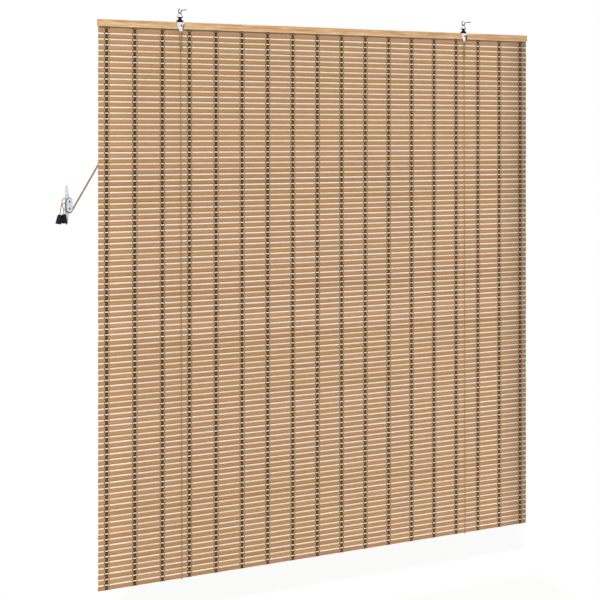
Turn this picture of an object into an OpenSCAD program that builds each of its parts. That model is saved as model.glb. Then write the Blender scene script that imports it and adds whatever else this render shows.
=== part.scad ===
// Bamboo roll up blind on two wall hooks, with its cords tied to a wall cleat.
// The wall is the plane Y = 0, the room is on the +Y side, and the hook screws lie on Z = 0.

/* [Mat] */
// Width of the woven mat
mat_w = 1600; // [1300:10:2400]
// Number of slats in the mat
courses = 99; // [60:1:110]
// Height of one bamboo slat
slat_h = 12; // [8:0.5:16]
// Thickness of a slat
slat_t = 2; // [1.4:0.1:2.6]
// Height of one pale reed between two slats
reed_h = 4; // [2.5:0.5:6]
// Thickness of a reed
reed_t = 3; // [2.6:0.1:3.6]
// Thickness of the wall where a slat meets a reed
neck_t = 1; // [0.6:0.1:1.4]
// Columns of warp threads
warp_count = 18; // [8:1:24]
// From the mat's side edge to the first warp column
warp_margin = 26.5; // [15:0.5:60]
// Width of one warp band
band_w = 8.5; // [4:0.5:14]
// Thickness of a warp band
band_t = 0.4; // [0.2:0.1:0.6]

/* [Rail] */
// Height of the head rail
rail_h = 20; // [18:1:28]
// Thickness of one batten
batten_t = 5; // [4:0.5:8]
// Height of mat held between the battens
mat_grip = 6; // [4:0.5:7]
// Rounding of the battens' long edges
batten_r = 1.2; // [0.4:0.1:1.8]
// Bare mat between the rail and the first reed
head_gap = 2; // [1:0.5:6]
// Diameter of the rail screws
screw_d = 3; // [2.5:0.1:3.6]
// Diameter of the rail screws' heads
screw_head_d = 6; // [5:0.5:7]

/* [Hangers] */
// Distance of each hanger from the middle of the blind
hanger_x = 532; // [400:1:600]
// Diameter of the hook's wire
hook_d = 2.9; // [2.4:0.1:3.4]
// Radius of the hook's bend, at the middle of its wire
hook_r = 7; // [6:0.5:10]
// Radius of the elbow between screw and bend
elbow_r = 2; // [2:0.1:3]
// Bare shank between the wall and the elbow
shank_out = 4; // [3:0.5:12]
// Length of thread in the wall
thread_l = 22; // [15:1:40]
// Diameter of the ring's wire
ring_d = 2.2; // [1.8:0.1:2.4]
// Width of the ring's base, at the middle of its wire
ring_w = 19; // [18:0.5:26]
// From the hook's lowest wire down to the ring's base bar
ring_h = 12; // [9:0.5:20]
// From the ring's base bar down to the rail
saddle_h = 13; // [9:0.5:20]
// Width of the saddle at the ring
saddle_w = 15; // [12:0.5:15.5]
// Width of the saddle at its waist
waist_w = 8.5; // [8:0.5:12]
// Width of the saddle's foot on the rail
foot_w = 25; // [18:0.5:32]
// Thickness of the saddle at the ring
saddle_t = 5; // [4:0.5:7]
// Width of the face plate at its top
plate_w = 24; // [16:0.5:26]
// Width of the face plate at its rounded tip
tip_w = 7.5; // [6:0.5:9]
// Height of the face plate
plate_h = 29.5; // [24:0.5:34]
// Thickness of the face plate at its middle
plate_t = 2.2; // [1.6:0.1:3]
// Diameter of the eye that the lift cord goes through
eye_d = 3.6; // [3.2:0.1:4]

/* [Pulleys] */
// Diameter of a pulley wheel
wheel_d = 14.4; // [13:0.2:16]
// Width of a pulley wheel
wheel_w = 5; // [4.5:0.1:7]
// Diameter at the bottom of the groove
groove_d = 9; // [7:0.2:9.4]
// Diameter of the through axle
axle_d = 4; // [3:0.1:4.6]
// Sheet thickness of the pulley block
sheet_t = 1.2; // [0.8:0.1:1.6]
// Width of the pulley block's cheeks
cheek_w = 14; // [12:0.5:18]
// Length of the block's fixing plate along the rail
strap_l = 40; // [36:1:60]

/* [Cleat] */
// Distance of the cleat's middle from the mat's side edge
cleat_out = 96; // [80:1:600]
// Distance of the cleat's middle below the hook screws
cleat_drop = 554; // [300:1:1200]
// Length of the cleat from tip to tip
cleat_l = 108; // [90:1:140]
// Width of the cleat's horns at the middle
horn_w = 10; // [9:0.5:12]
// Width of the horns at the tips
horn_tip_w = 5; // [4:0.5:7]
// Distance of the horns' outer face from the wall
cleat_depth = 20; // [18:0.5:26]
// Thickness of the horns at the tips
horn_tip_t = 3.5; // [2.5:0.1:5]
// Height of the cleat's base plate
base_h = 37; // [34:0.5:46]
// Width of the cleat's base plate
base_w = 19; // [16:0.5:24]
// Thickness of the cleat's base plate
base_t = 3; // [2:0.1:4]
// Diameter of the cleat's screw holes
hole_d = 4.2; // [3.2:0.1:4.6]
// Distance between the cleat's screw holes
hole_gap = 20; // [16:0.5:22]

/* [Cord] */
// Diameter of the cord
cord_d = 2.5; // [1.6:0.1:2.8]
// Diameter of a cord pull at its foot
pull_d = 16.5; // [11:0.5:17]
// Height of a cord pull
pull_h = 26; // [20:0.5:36]
// Height of the cord's winding on the cleat
winding_h = 50; // [46:1:60]
// Width of the cord's winding on the cleat
winding_w = 25; // [22:0.5:28]

/* [Hidden] */
$fn = 48;
seat_gap = 0.3;       // between pieces that move on each other, or a cord and what it passes
pin_gap = 0.05;       // between a pin and its bore
wheel_gap = 0.6;      // at each side of a pulley wheel
pin_land = 2;         // bare batten between the mat's edge and the axle
screw_lift = 3;       // rail screws above the axle
screw_head_t = 1.2;
hook_open = [180, 450];   // sweep of the hook's bend, in degrees round its middle
tip_round = 12;       // points on a drawn round end

hook_z = -(elbow_r + hook_r);              // lowest wire of the hook
mat_y = shank_out + elbow_r + hook_r;      // mid-plane of the mat
bar_z = hook_z - ring_h;
rail_top = bar_z - saddle_h;
rail_bottom = rail_top - rail_h;
mat_top = rail_bottom + mat_grip;
axle_z = mat_top + axle_d / 2 + pin_land;
screw_z = axle_z + screw_lift;
back_y = mat_y - slat_t / 2 - batten_t;    // wall side face of the rail
front_y = mat_y + slat_t / 2 + batten_t;   // room side face of the rail

pitch = slat_h + reed_h;
first_reed = rail_bottom - head_gap;
mat_bottom = first_reed - courses * pitch;
ridge = max(reed_t, slat_t) / 2;           // the mat's highest ridges
warp_step = (mat_w - 2 * warp_margin) / (warp_count - 1);

wheel_in = front_y + sheet_t + wheel_gap;  // inner face of the first wheel
wheel_step = wheel_w + wheel_gap;
wrap_r = groove_d / 2 + seat_gap + cord_d / 2;   // cord's middle on a wheel
web_z = axle_z + max(wrap_r + cord_d / 2, wheel_d / 2) + wheel_gap;
strap_hole = (strap_l + cheek_w) / 4;      // fixing hole of the block, from the axle
span_screws = [-0.5, 0, 0.5];              // rail screws between the hangers, as shares of hanger_x

plate_top = rail_top - 1;
eye_z = plate_top - plate_h + tip_w / 2;

cleat_x = mat_w / 2 + cleat_out;
cleat_z = -cleat_drop;
post_h = base_h - 2 * base_t;              // height of the cleat's post
throat_y = base_t + 7;                     // horn's underside at the post

// Lift cords: from the eye of the plate down the wall side, round the end, up the room side.
// X is counted from the hanger.
lift_route = [
    [0, 3, eye_z], [0, 8, eye_z - 0.5], [0, 9.4, eye_z - 4], [0.2, 9.5, eye_z - 13], [2.5, 9.5, -804],
    [5, 9.5, mat_bottom + 11], [5.2, 9.6, mat_bottom + 2], [5.3, 11, mat_bottom - 2],
    [5.4, 15, mat_bottom - 2], [5.5, 16.5, mat_bottom + 2], [5.5, 16.6, mat_bottom + 11],
    [5.8, 20, -804], [6.05, 23.3, -54]];
// Pull cords, from the left wheels to the winding
pull_route_inner = [
    [-537.3, 23.3, -41], [-620, 21, -170], [-710, 18.9, -311], [-800, 17, -450], [-885, 5.5, -570]];
pull_route_outer = [
    [-537.3, 28.9, -41], [-620, 25.8, -168], [-710, 22.5, -308], [-800, 19.5, -447], [-885, 8, -567]];
// Tails, from the winding to the cord pulls
tail_route_left = [
    [-904, 7, -534], [-909, 6.5, -536], [-914, 7, -545], [-919, 8.4, -562], [-922, 9, -580]];
tail_route_right = [
    [-907, 8, -549], [-910.5, 8.4, -555], [-910.5, 8.8, -565], [-909.5, 9.2, -578]];
pull_turn_left = 11;     // lean of each cord pull from the plumb line, in degrees
pull_turn_right = -4;

// Outlines drawn in X and Z, given thickness t towards the room from y0
module slab_y(y0, t) {
    translate([0, y0 + t, 0]) rotate([90, 0, 0]) linear_extrude(t) children();
}

// Outlines drawn in Y and Z, given width w along the blind from x0
module slab_x(x0, w) {
    translate([x0, 0, 0]) rotate([90, 0, 90]) linear_extrude(w) children();
}

// A rod towards the room, from y0 to y1
module rod_y(x, y0, y1, z, d) {
    translate([x, y0, z]) rotate([-90, 0, 0]) cylinder(h = y1 - y0, d = d);
}

// A rod between two points of the X, Z plane at y
module rod_xz(p, q, y, d) {
    run = q - p;
    translate([p.x, y, p.y]) rotate([0, 90 - atan2(run.y, run.x), 0]) cylinder(h = norm(run), d = d);
}

// A bent wire in the local X, Y plane, between two angles round the origin
module bend(r, d, from, to) {
    rotate([0, 0, from]) rotate_extrude(angle = to - from) translate([r, 0]) circle(d = d);
}

// A half ball on the local X, Y plane
module half_ball(d) {
    rotate_extrude() intersection() {
        circle(d = d);
        square(d);
    }
}

function unit(v) = v / norm(v);
function heading(path, i) = unit(path[min(i + 1, len(path) - 1)] - path[max(i - 1, 0)]);
// Side direction of the cord at point i, carried along the route without twist
function side_dir(path, i) =
    let(t = heading(path, i),
        u = i > 0 ? side_dir(path, i - 1) : abs(t.x) < 0.9 ? [1, 0, 0] : [0, 1, 0])
    unit(u - (u * t) * t);
function cord_ring(path, i, n) =
    let(t = heading(path, i), u = side_dir(path, i), v = cross(t, u))
    [for (j = [0:n - 1]) path[i] + cord_d / 2 * (cos(360 * j / n) * u + sin(360 * j / n) * v)];

// One cord, swept along its route with eight sides
module cord(path) {
    n = 8;
    last = len(path) - 1;
    points = [for (i = [0:last]) each cord_ring(path, i, n)];
    walls = [for (i = [0:last - 1], j = [0:n - 1])
        [i * n + j, (i + 1) * n + j, (i + 1) * n + (j + 1) % n, i * n + (j + 1) % n]];
    ends = [[for (j = [0:n - 1]) j], [for (j = [n - 1:-1:0]) last * n + j]];
    polyhedron(points, concat(walls, ends));
}

// Cord laid on a wheel, between two angles of the X, Z plane
function wrap(x, y, from, to, steps) =
    [for (i = [0:steps]) let(a = from + (to - from) * i / steps)
        [x + wrap_r * cos(a), y, axle_z + wrap_r * sin(a)]];
function shifted(path, x) = [for (p = path) p + [x, 0, 0]];

// A screw hook: thread in the wall, elbow, and an open bend for the ring
module wall_hook(x) {
    point_l = hook_d;
    translate([x, 0, 0]) color("silver") {
        rod_y(0, -thread_l, shank_out, 0, hook_d);
        translate([0, -thread_l, 0]) rotate([90, 0, 0]) cylinder(h = point_l, d1 = hook_d, d2 = 0.4);
        translate([0, shank_out, -elbow_r]) rotate([90, 0, 90]) bend(elbow_r, hook_d, 0, 90);
        translate([0, mat_y, -elbow_r]) rotate([90, 0, 90]) {
            bend(hook_r, hook_d, hook_open[0], hook_open[1]);
            rotate([-90, 0, hook_open[1]]) translate([hook_r, 0, 0]) half_ball(hook_d);
        }
    }
}

function arc(c, r, from, to, steps) =
    [for (i = [0:steps]) let(a = from + (to - from) * i / steps) c + r * [cos(a), sin(a)]];

// A closed wire of n sides along a loop of the X, Z plane at y
module wire_loop(loop, y, d, n = 12) {
    count = len(loop);
    points = [for (i = [0:count - 1])
        let(t = unit(loop[(i + 1) % count] - loop[(i + count - 1) % count]))
        for (j = [0:n - 1]) let(a = 360 * j / n)
            [loop[i].x + d / 2 * cos(a) * t.y, y + d / 2 * sin(a), loop[i].y - d / 2 * cos(a) * t.x]];
    polyhedron(points, [for (i = [0:count - 1], j = [0:n - 1])
        let(k = (i + 1) % count, m = (j + 1) % n) [i * n + j, i * n + m, k * n + m, k * n + j]]);
}

// A triangular wire ring: round apex over the hook, base bar in the saddle
module hanger_ring(x) {
    apex_r = (hook_d + ring_d) / 2 + seat_gap;
    corner_r = ring_d * 0.75;
    corner = [ring_w / 2 - corner_r, bar_z + corner_r];
    apex = [0, hook_z];
    leg = corner - apex;
    lean = atan2(leg.y, leg.x) + acos((apex_r - corner_r) / norm(leg));
    loop = concat(
        arc(apex, apex_r, lean, 180 - lean, 8),
        arc([-corner.x, corner.y], corner_r, 180 - lean, 270, 6),
        arc(corner, corner_r, -90, lean, 6));
    color("gainsboro") translate([x, 0, 0]) wire_loop(loop, mat_y, ring_d);
}

// Half width of a waisted side at height t, from 0 at the foot to 1 at the top
function waisted(t, foot, waist, top) =
    let(land = 0.12, neck = 0.6)
    t < land ? foot
    : t < neck ? waist + (foot - waist) * pow((neck - t) / (neck - land), 1.3)
    : waist + (top - waist) * (t - neck) / (1 - neck);
module waisted_outline(foot, waist, top, h) {
    steps = 16;
    half = [for (i = [0:steps]) [waisted(i / steps, foot, waist, top) / 2, h * i / steps]];
    polygon(concat(half, [for (i = [steps:-1:0]) [-half[i].x, half[i].y]]));
}

// The black saddle: holds the ring's bar and flares to its foot on the rail
module hanger_saddle(x) {
    h = saddle_h + ring_d;
    depth = front_y - back_y;
    translate([x, 0, 0]) color("#1b1b1d") difference() {
        intersection() {
            translate([0, 0, rail_top]) slab_y(back_y, depth) waisted_outline(foot_w, waist_w, saddle_w, h);
            translate([0, mat_y, rail_top]) slab_x(-foot_w / 2, foot_w)
                waisted_outline(depth, saddle_t, saddle_t, h);
        }
        rod_xz([-foot_w / 2, bar_z], [foot_w / 2, bar_z], mat_y, ring_d + 2 * pin_gap);
    }
}

// The bright plate on the rail's wall side: a crowned shield with an eye at its tip
module face_plate(x) {
    corner = 2;
    rim_t = plate_t / 2;
    lean = 32;             // where the sides run into the round tip, in degrees
    tip = arc([0, eye_z], tip_w / 2, -lean, lean - 180, tip_round);
    shoulder = [plate_w / 2, plate_top - corner];
    side = [for (i = [0:11]) let(t = i / 12)
        [tip[0].x + (shoulder.x - tip[0].x) * (1 - pow(t, 1.8)), shoulder.y + (tip[0].y - shoulder.y) * t]];
    crown_r = (pow(plate_h / 2, 2) + pow(plate_t - rim_t, 2)) / (2 * (plate_t - rim_t));
    translate([x, 0, 0]) color("silver") difference() {
        intersection() {
            slab_y(back_y - plate_t, plate_t) polygon(concat(
                [[plate_w / 2 - corner, plate_top]], side, tip,
                [for (i = [len(side) - 1:-1:0]) [-side[i].x, side[i].y]], [[corner - plate_w / 2, plate_top]]));
            translate([0, back_y - plate_t + crown_r, plate_top - plate_h / 2]) sphere(r = crown_r, $fn = 300);
        }
        rod_y(0, back_y - 2 * plate_t, back_y + plate_t, axle_z, axle_d + 2 * pin_gap);
        rod_y(0, back_y - 2 * plate_t, back_y + plate_t, eye_z, eye_d);
    }
}

// Room side sheet of the block with n wheels
function cheek_y(n) = wheel_in + n * wheel_step;

// The pulley block: a strap on the rail, a web over the wheels and an outer cheek
module pulley_block(x, n) {
    depth = cheek_y(n) + sheet_t - front_y;
    skirt = axle_d;                        // cheek below the axle
    translate([x, 0, 0]) color("lightgray") difference() {
        union() {
            slab_x(-cheek_w / 2, cheek_w) {
                translate([front_y, rail_bottom]) square([sheet_t, web_z + sheet_t - rail_bottom]);
                translate([front_y, web_z]) square([depth, sheet_t]);
                translate([cheek_y(n), axle_z - skirt]) square([sheet_t, web_z + sheet_t - axle_z + skirt]);
            }
            slab_y(front_y, sheet_t) translate([-strap_l / 2, screw_z - screw_head_d / 2 - 1])
                square([strap_l, screw_head_d + 2]);
        }
        rod_y(0, front_y - 1, cheek_y(n) + 2 * sheet_t, axle_z, axle_d + 2 * pin_gap);
        for (s = [-1, 1]) rod_y(s * strap_hole, front_y - 1, front_y + 2 * sheet_t, screw_z, screw_d + 2 * pin_gap);
    }
}

// The axle: one long rivet through plate, rail and block
module pulley_axle(x, n) {
    head_t = 1.2;
    head_d = axle_d * 1.7;
    plate_face = back_y - plate_t;
    translate([x, 0, 0]) color("#6d6a66") {
        rod_y(0, plate_face, cheek_y(n) + sheet_t, axle_z, axle_d);
        rod_y(0, plate_face - head_t, plate_face, axle_z, head_d);
        rod_y(0, cheek_y(n) + sheet_t, cheek_y(n) + sheet_t + head_t, axle_z, head_d);
    }
}

// A grooved wheel, the i-th one on its axle
module pulley_wheel(x, i) {
    rim = wheel_d / 2;
    root = groove_d / 2;
    lip = wheel_w / 10;
    translate([x, wheel_in + i * wheel_step, axle_z]) rotate([-90, 0, 0]) color("#d8d4c8")
        rotate_extrude() polygon([
            [axle_d / 2 + pin_gap, 0], [rim, 0], [rim, lip], [root, wheel_w * 0.3],
            [root, wheel_w * 0.7], [rim, wheel_w - lip], [rim, wheel_w], [axle_d / 2 + pin_gap, wheel_w]]);
}

// Section of a batten with its outer long edges rounded, outer face at y = 0
module batten_section(t, h) {
    translate([0, batten_r]) square([t, h - 2 * batten_r]);
    translate([batten_r, 0]) square([t - batten_r, h]);
    for (z = [batten_r, h - batten_r]) translate([batten_r, z]) circle(r = batten_r);
}

function screw_places() = concat(
    [for (i = span_screws) i * hanger_x],
    [for (s = [-1, 1]) s * (hanger_x + mat_w / 2) / 2]);
function strap_places() = [for (s = [-1, 1], t = [-1, 1]) s * hanger_x + t * strap_hole];

// Holes for the axles and the rail screws
module rail_holes() {
    for (s = [-1, 1]) rod_y(s * hanger_x, back_y - 1, front_y + 1, axle_z, axle_d + 2 * pin_gap);
    for (x = concat(screw_places(), strap_places()))
        rod_y(x, mat_y - batten_t / 2, front_y + 1, screw_z, screw_d + 2 * pin_gap);
}

module wall_hook_left() { wall_hook(-hanger_x); }
module wall_hook_right() { wall_hook(hanger_x); }
module hanger_ring_left() { hanger_ring(-hanger_x); }
module hanger_ring_right() { hanger_ring(hanger_x); }
module hanger_saddle_left() { hanger_saddle(-hanger_x); }
module hanger_saddle_right() { hanger_saddle(hanger_x); }
module face_plate_left() { face_plate(-hanger_x); }
module face_plate_right() { face_plate(hanger_x); }
module pulley_block_left() { pulley_block(-hanger_x, 2); }
module pulley_block_right() { pulley_block(hanger_x, 1); }
module pulley_axle_left() { pulley_axle(-hanger_x, 2); }
module pulley_axle_right() { pulley_axle(hanger_x, 1); }
module pulley_wheel_left_inner() { pulley_wheel(-hanger_x, 0); }
module pulley_wheel_left_outer() { pulley_wheel(-hanger_x, 1); }
module pulley_wheel_right() { pulley_wheel(hanger_x, 0); }

// Wall side batten, with a step that backs the mat's top edge
module back_batten() {
    color("#deb586") difference() {
        slab_x(-mat_w / 2, mat_w) {
            translate([back_y, rail_bottom]) batten_section(batten_t, rail_h);
            translate([back_y + batten_t / 2, mat_top]) square([batten_t / 2 + slat_t, rail_top - mat_top]);
        }
        rail_holes();
    }
}

module front_batten() {
    color("#deb586") difference() {
        slab_x(-mat_w / 2, mat_w)
            translate([front_y, rail_bottom]) mirror([1, 0]) batten_section(batten_t, rail_h);
        rail_holes();
    }
}

// Screws from the room side, those of the pulley blocks on top of their straps
module rail_screws() {
    color("#8d8a84") {
        for (x = screw_places()) rail_screw(x, front_y);
        for (x = strap_places()) rail_screw(x, front_y + sheet_t);
    }
}
module rail_screw(x, seat) {
    rod_y(x, mat_y - batten_t / 2, seat, screw_z, screw_d);
    rod_y(x, seat, seat + screw_head_t, screw_z, screw_head_d);
}

// One face of the mat from top to bottom: each reed is a raised ridge, each slat a flat one
function mat_face() = concat(
    [[slat_t / 2, mat_top], [slat_t / 2, first_reed + neck_t]],
    [for (k = [0:courses - 1]) let(z = first_reed - k * pitch) each [
        [neck_t / 2, z], [reed_t / 2, z - 0.3 * reed_h], [reed_t / 2, z - 0.7 * reed_h],
        [neck_t / 2, z - reed_h], [slat_t / 2, z - reed_h - neck_t], [slat_t / 2, z - pitch + neck_t]]],
    [[neck_t / 2, mat_bottom]]);

module slat_mat() {
    face = mat_face();
    color("#be9168") translate([0, mat_y, 0]) slab_x(-mat_w / 2, mat_w)
        polygon(concat(face, [for (i = [len(face) - 1:-1:0]) [-face[i].x, face[i].y]]));
}

// Warp bands on one face of the mat, with their outer face at y1
module warp_bands(y1) {
    color("#5a4326") for (i = [0:warp_count - 1])
        translate([-mat_w / 2 + warp_margin + i * warp_step - band_w / 2, y1 - band_t, mat_bottom])
            cube([band_w, band_t, rail_bottom - mat_bottom]);
}
module warp_wall_side() { warp_bands(mat_y - ridge); }
module warp_room_side() { warp_bands(mat_y + ridge + band_t); }

// The cleat: base plate, post and two horns that rise and taper to their tips
module cleat() {
    half = cleat_l / 2;
    reach = half - post_h / 2;
    steps = 10;
    function under(h) = throat_y + (cleat_depth - horn_tip_t - throat_y + 1) * sin(90 * (h - post_h / 2) / reach);
    function top(h) = cleat_depth + pow(h / half, 2);
    function width(h) = horn_w - (horn_w - horn_tip_w) * pow(h / half, 2);
    side = concat(
        [[0, post_h / 2]],
        [for (i = [0:steps]) let(h = post_h / 2 + reach * i / steps) [under(h), h]],
        [for (i = [steps:-1:0]) let(h = half * i / steps) [top(h), h]]);
    plan = concat(
        [for (i = [-steps:steps]) let(h = half * i / steps) [width(abs(h)) / 2, h]],
        [for (i = [steps:-1:-steps]) let(h = half * i / steps) [-width(abs(h)) / 2, h]]);
    color("silver") translate([-cleat_x, 0, cleat_z]) difference() {
        union() {
            intersection() {
                slab_x(-horn_w, 2 * horn_w) {
                    polygon(concat(side, [[0, 0]]));
                    mirror([0, 1]) polygon(concat(side, [[0, 0]]));
                }
                slab_y(0, 2 * cleat_depth) polygon(plan);
            }
            slab_y(0, base_t) {
                square([base_w, base_h - base_w], center = true);
                for (s = [-1, 1]) translate([0, s * (base_h - base_w) / 2]) circle(d = base_w);
            }
        }
        for (s = [-1, 1]) rod_y(0, -1, 2 * cleat_depth, s * hole_gap / 2, hole_d);
    }
}

// The cords' turns round the post, as one oblong ring
module cleat_winding() {
    inner_h = post_h + 2 * seat_gap;
    inner_w = horn_w + 2 * seat_gap;
    color("#b59f78") translate([-cleat_x, 0, cleat_z])
        slab_y(base_t, throat_y - base_t - seat_gap) difference() {
            oblong(winding_w, winding_h);
            square([inner_w, inner_h], center = true);
        }
}
module oblong(w, h) {
    square([w, h - w], center = true);
    for (s = [-1, 1]) translate([0, s * (h - w) / 2]) circle(d = w);
}

// A bell shaped pull, hung from the end of a tail
module cord_pull(end, turn) {
    neck_d = pull_d * 0.5;
    bore_d = cord_d + 2 * seat_gap;
    mouth_d = pull_d - 5;
    lip_r = 1.4;
    shoulder = [for (i = [0:tip_round]) let(a = 90 - 90 * i / tip_round)
        [neck_d / 2 + (pull_d - neck_d) / 2 * cos(a) * 0.62, -pull_h * 0.36 + pull_h * 0.36 * sin(a)]];
    lip = [for (i = [0:tip_round / 2]) let(a = -180 * i / tip_round)
        [pull_d / 2 - lip_r + lip_r * cos(a), -pull_h + lip_r + lip_r * sin(a)]];
    color("#17171a") translate(end) rotate([0, turn, 0]) rotate_extrude() polygon(concat(
        [[bore_d / 2, 0]], shoulder, lip,
        [[mouth_d / 2, -pull_h], [mouth_d / 2 - 0.5, -pull_h * 0.55], [bore_d / 2, -pull_h * 0.5]]));
}
module cord_pull_left() { cord_pull(tail_route_left[len(tail_route_left) - 1], pull_turn_left); }
module cord_pull_right() { cord_pull(tail_route_right[len(tail_route_right) - 1], pull_turn_right); }

first_wheel_y = wheel_in + wheel_w / 2;
second_wheel_y = first_wheel_y + wheel_step;
leave_angle = 146;       // where the pull cords leave the left wheels
module lift_cord_left() {
    color("#b59f78") cord(concat(shifted(lift_route, -hanger_x),
        wrap(-hanger_x, first_wheel_y, 0, leave_angle, 6)));
}
module lift_cord_right() {
    color("#b59f78") cord(concat(shifted(lift_route, hanger_x),
        wrap(hanger_x, first_wheel_y, 0, 90, 4)));
}
module cross_cord() {
    color("#b59f78") cord(concat([[hanger_x, first_wheel_y, axle_z + wrap_r]],
        wrap(-hanger_x, second_wheel_y, 90, leave_angle, 3)));
}
module pull_cord_inner() { color("#b59f78") cord(pull_route_inner); }
module pull_cord_outer() { color("#b59f78") cord(pull_route_outer); }
module cord_tail_left() { color("#b59f78") cord(tail_route_left); }
module cord_tail_right() { color("#b59f78") cord(tail_route_right); }

wall_hook_left();
wall_hook_right();
cleat();
cleat_winding();
pull_cord_inner();
pull_cord_outer();
cord_tail_left();
cord_tail_right();
cord_pull_left();
cord_pull_right();
back_batten();
front_batten();
rail_screws();
slat_mat();
warp_wall_side();
warp_room_side();
hanger_ring_left();
hanger_ring_right();
hanger_saddle_left();
hanger_saddle_right();
face_plate_left();
face_plate_right();
pulley_block_left();
pulley_block_right();
pulley_axle_left();
pulley_axle_right();
lift_cord_left();
lift_cord_right();
cross_cord();
pulley_wheel_left_inner();
pulley_wheel_left_outer();
pulley_wheel_right();
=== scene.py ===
# Bamboo roll up blind: the looks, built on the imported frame
import math

import bmesh
import bpy
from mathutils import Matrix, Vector


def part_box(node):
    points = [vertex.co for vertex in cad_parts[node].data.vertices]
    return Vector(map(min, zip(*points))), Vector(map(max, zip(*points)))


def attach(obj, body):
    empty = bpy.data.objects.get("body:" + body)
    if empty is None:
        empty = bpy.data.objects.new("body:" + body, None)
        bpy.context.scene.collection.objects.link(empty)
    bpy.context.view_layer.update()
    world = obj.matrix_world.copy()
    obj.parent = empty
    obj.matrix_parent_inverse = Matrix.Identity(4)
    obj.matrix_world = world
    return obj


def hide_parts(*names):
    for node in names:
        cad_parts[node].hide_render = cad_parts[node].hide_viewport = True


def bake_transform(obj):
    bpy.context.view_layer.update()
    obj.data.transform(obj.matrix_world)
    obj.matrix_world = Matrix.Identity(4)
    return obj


mm = 0.001
black = (0, 0, 0, 1)
white = (1, 1, 1, 1)
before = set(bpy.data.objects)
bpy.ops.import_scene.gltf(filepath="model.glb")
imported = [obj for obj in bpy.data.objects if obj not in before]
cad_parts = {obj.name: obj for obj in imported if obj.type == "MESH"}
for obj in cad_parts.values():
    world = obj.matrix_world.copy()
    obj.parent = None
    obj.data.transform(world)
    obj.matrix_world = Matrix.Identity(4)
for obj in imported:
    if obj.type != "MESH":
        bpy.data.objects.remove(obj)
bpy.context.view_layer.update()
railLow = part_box("back_batten")[0]
print("frame loaded,", len(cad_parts), "nodes")


# small helpers

def srgb(r, g, b):
    def linear(c):
        c = c / 255
        return c / 12.92 if c <= 0.04045 else ((c + 0.055) / 1.055) ** 2.4
    return (linear(r), linear(g), linear(b), 1.0)


def put(tree, kind, inputs=None, **settings):
    node = tree.nodes.new(kind)
    for key, value in settings.items():
        setattr(node, key, value)
    for key, value in (inputs or {}).items():
        if isinstance(value, bpy.types.NodeSocket):
            tree.links.new(value, node.inputs[key])
        else:
            node.inputs[key].default_value = value
    return node


def math2(tree, operation, a, b=0.0):
    return put(tree, "ShaderNodeMath", {0: a, 1: b}, operation=operation).outputs[0]


def ramp(tree, factor, stops):
    node = put(tree, "ShaderNodeValToRGB", {"Fac": factor})
    node.color_ramp.elements[0].position, node.color_ramp.elements[0].color = stops[0]
    node.color_ramp.elements[1].position, node.color_ramp.elements[1].color = stops[-1]
    for position, colour in stops[1:-1]:
        node.color_ramp.elements.new(position).color = colour
    return node.outputs["Color"]


def mix(tree, factor, a, b):
    return put(tree, "ShaderNodeMix", {0: factor, 6: a, 7: b}, data_type="RGBA").outputs[2]


def tinted(tree, base, layers):
    # each layer is a factor, its greatest share and a colour
    for factor, share, colour in layers:
        base = mix(tree, math2(tree, "MULTIPLY", factor, share), base, colour)
    return base


def ranged(tree, value, low, high, atLow, atHigh):
    return put(tree, "ShaderNodeMapRange", {
        "Value": value, "From Min": low, "From Max": high,
        "To Min": atLow, "To Max": atHigh}).outputs[0]


def mask(tree, factor, low, high):
    return ramp(tree, factor, [(low, black), (high, white)])


def noise(tree, vector, scale, stretch=(1, 1, 1), detail=3.0):
    turned = put(tree, "ShaderNodeMapping", {"Vector": vector, "Scale": stretch}).outputs[0]
    node = put(tree, "ShaderNodeTexNoise", {"Vector": turned, "Scale": scale, "Detail": detail})
    return node.outputs["Fac"]


def bump(tree, shader, height, strength, distance):
    node = put(tree, "ShaderNodeBump", {"Height": height, "Strength": strength, "Distance": distance})
    tree.links.new(node.outputs[0], shader.inputs["Normal"])


def startMaterial(name, roughness, metallic=0.0, gloss=0.5):
    mat = bpy.data.materials.new(name)
    mat.use_nodes = True
    shader = mat.node_tree.nodes["Principled BSDF"]
    shader.inputs["Roughness"].default_value = roughness
    shader.inputs["Metallic"].default_value = metallic
    shader.inputs["Specular IOR Level"].default_value = gloss
    return mat, mat.node_tree, shader


def objectCoords(tree):
    return put(tree, "ShaderNodeTexCoord").outputs["Object"]


def attribute(tree, name):
    return put(tree, "ShaderNodeAttribute", attribute_name=name).outputs["Fac"]


# finishes

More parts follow.
